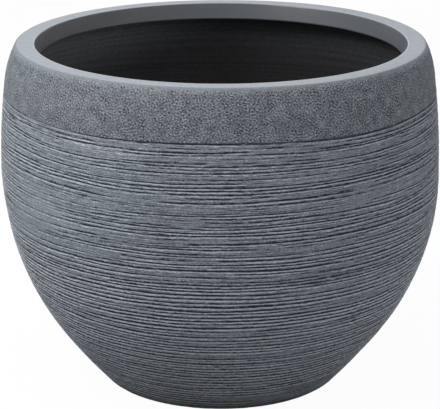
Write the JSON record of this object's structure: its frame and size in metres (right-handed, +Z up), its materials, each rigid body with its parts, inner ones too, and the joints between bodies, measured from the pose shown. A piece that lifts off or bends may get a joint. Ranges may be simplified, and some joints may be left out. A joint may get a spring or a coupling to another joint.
{
  "type": "fibreclay floor planter",
  "caption": "Round grey fibreclay pot with a full belly, a combed outside, a smooth thick rim and a plugged drain.",
  "frame": {"origin": "middle of the foot, on the plane that the pot stands on", "axes": "+Z up along the pot's axis of turning; -Y towards the camera of the picture, +X to its right"},
  "size_m": [0.5, 0.5, 0.395],
  "materials": {
    "face_coat": "matte fibreclay, combed in uneven level grooves, with a stippled band under the rim",
    "glass_mat": "chopped glass fibre bound in resin",
    "backing_coat": "matte dark fibreclay with faint level ribs from the hand",
    "floor_slab": "matte dark fibreclay, floated flat",
    "glass_roving": "wound glass strands bound in resin",
    "rim": "smooth cast fibreclay, rubbed down, with fine pores",
    "drain_sleeve": "black moulded plastic",
    "drain_plug": "black moulded rubber"
  },
  "bodies": {
    "pot": {"face_coat": "face_coat", "wall_mat": "glass_mat", "base_mat": "glass_mat", "backing_coat": "backing_coat", "floor_slab": "floor_slab", "rim_band": "glass_roving", "rim": "rim", "drain_sleeve": "drain_sleeve"},
    "plug": {"drain_plug": "drain_plug"}
  },
  "joints": [
    {"name": "plug_lift", "type": "slide", "parent": "pot", "child": "plug", "axis": [0, 0, 1], "range_m": [0, 0.4]}
  ]
}
